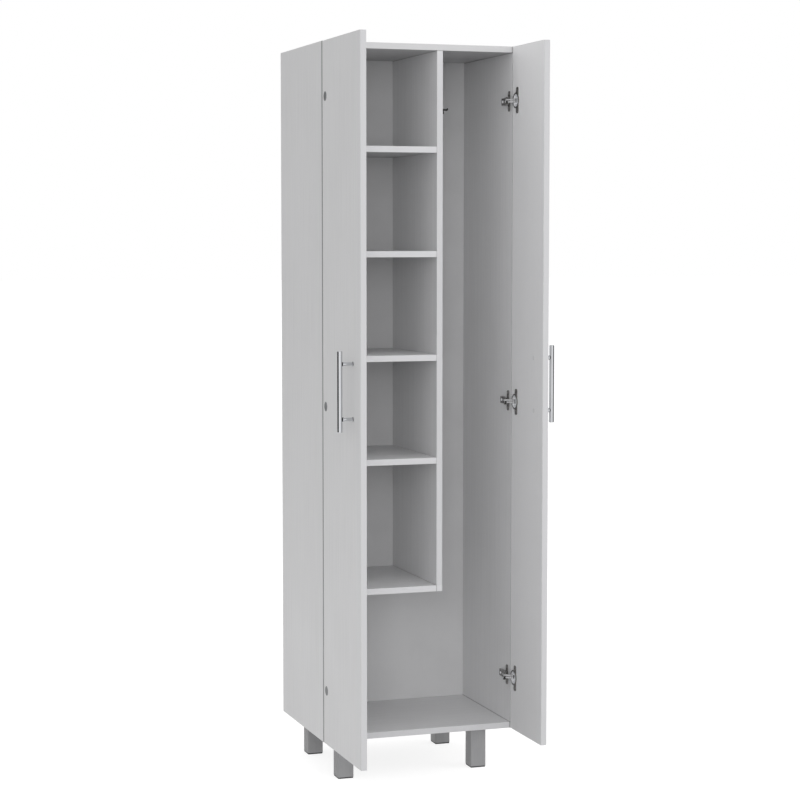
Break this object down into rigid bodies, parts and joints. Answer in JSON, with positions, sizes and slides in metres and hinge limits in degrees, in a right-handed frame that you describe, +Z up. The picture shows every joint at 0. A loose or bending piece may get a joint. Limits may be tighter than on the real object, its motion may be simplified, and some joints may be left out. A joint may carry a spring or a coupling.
{
  "type": "broom cupboard",
  "caption": "Tall free-standing utility cupboard with a broom bay, pigeonholes, a wide lower bay and two unequal hinged doors on cup hinges, on square metal legs.",
  "frame": {"origin": "centre of the base of the whole cupboard with its doors open at right angles, on the floor", "axes": "+Z up, +Y to the cupboard's back, +X to the right as seen from the front"},
  "size_m": [0.58, 0.6664, 1.8],
  "materials": {
    "white_board": "white melamine-faced board, matt",
    "door_board": "white melamine-faced board, matt",
    "back_board": "thin white-faced hardboard",
    "satin_steel": "satin metal leg",
    "handle_steel": "brushed nickel handle",
    "nickel": "nickel-plated pressed steel",
    "link_steel": "zinc-plated steel",
    "hook_metal": "black enamel",
    "glide_plastic": "moulded plastic"
  },
  "bodies": {
    "carcass": {"left_side_panel": "white_board", "right_side_panel": "white_board", "top_panel": "white_board", "bottom_panel": "white_board", "lower_shelf": "white_board", "divider_panel": "white_board", "shelf_1": "white_board", "shelf_2": "white_board", "shelf_3": "white_board", "shelf_4": "white_board", "back_panel": "back_board", "front_left_leg": "satin_steel", "front_right_leg": "satin_steel", "rear_left_leg": "satin_steel", "rear_right_leg": "satin_steel", "front_left_leg_glide": "glide_plastic", "front_right_leg_glide": "glide_plastic", "rear_left_leg_glide": "glide_plastic", "rear_right_leg_glide": "glide_plastic", "front_broom_hook": "hook_metal", "rear_broom_hook": "hook_metal", "top_left_hinge_plate": "nickel", "top_left_hinge_arm": "nickel", "middle_left_hinge_plate": "nickel", "middle_left_hinge_arm": "nickel", "bottom_left_hinge_plate": "nickel", "bottom_left_hinge_arm": "nickel", "top_right_hinge_plate": "nickel", "top_right_hinge_arm": "nickel", "middle_right_hinge_plate": "nickel", "middle_right_hinge_arm": "nickel", "bottom_right_hinge_plate": "nickel", "bottom_right_hinge_arm": "nickel"},
    "left_door": {"left_door": "door_board", "left_handle_lower_post": "handle_steel", "left_handle_upper_post": "handle_steel", "left_handle_bar": "handle_steel", "top_left_hinge_cup": "nickel", "middle_left_hinge_cup": "nickel", "bottom_left_hinge_cup": "nickel"},
    "right_door": {"right_door": "door_board", "right_handle_lower_post": "handle_steel", "right_handle_upper_post": "handle_steel", "right_handle_bar": "handle_steel", "top_right_hinge_cup": "nickel", "middle_right_hinge_cup": "nickel", "bottom_right_hinge_cup": "nickel"},
    "left_short_links": {"top_left_short_link": "link_steel", "middle_left_short_link": "link_steel", "bottom_left_short_link": "link_steel"},
    "left_long_links": {"top_left_long_link": "link_steel", "middle_left_long_link": "link_steel", "bottom_left_long_link": "link_steel"},
    "right_short_links": {"top_right_short_link": "link_steel", "middle_right_short_link": "link_steel", "bottom_right_short_link": "link_steel"},
    "right_long_links": {"top_right_long_link": "link_steel", "middle_right_long_link": "link_steel", "bottom_right_long_link": "link_steel"}
  },
  "joints": [
    {"name": "left_door_hinge", "type": "hinge", "parent": "carcass", "child": "left_door", "pos_m": [-0.244, -0.04275, 0.95], "axis": [0, 0, -1], "range_deg": [-90, 5]},
    {"name": "left_short_link_pivot", "type": "hinge", "parent": "carcass", "child": "left_short_links", "pos_m": [-0.225, -0.03775, 0.95], "axis": [0, 0, -1], "range_deg": [-3, 27]},
    {"name": "left_long_link_pivot", "type": "hinge", "parent": "carcass", "child": "left_long_links", "pos_m": [-0.221, -0.03325, 0.95], "axis": [0, 0, -1], "range_deg": [-3, 27]},
    {"name": "right_door_hinge", "type": "hinge", "parent": "carcass", "child": "right_door", "pos_m": [0.244, -0.04275, 0.95], "axis": [0, 0, 1], "range_deg": [-90, 5]},
    {"name": "right_short_link_pivot", "type": "hinge", "parent": "carcass", "child": "right_short_links", "pos_m": [0.225, -0.03775, 0.95], "axis": [0, 0, 1], "range_deg": [-3, 27]},
    {"name": "right_long_link_pivot", "type": "hinge", "parent": "carcass", "child": "right_long_links", "pos_m": [0.221, -0.03325, 0.95], "axis": [0, 0, 1], "range_deg": [-3, 27]}
  ],
  "couplings": [
    {"joint": "left_short_link_pivot", "follows": "left_door_hinge", "ratio": -0.28813},
    {"joint": "left_long_link_pivot", "follows": "left_door_hinge", "ratio": -0.21376},
    {"joint": "right_short_link_pivot", "follows": "right_door_hinge", "ratio": -0.28813},
    {"joint": "right_long_link_pivot", "follows": "right_door_hinge", "ratio": -0.21376}
  ]
}
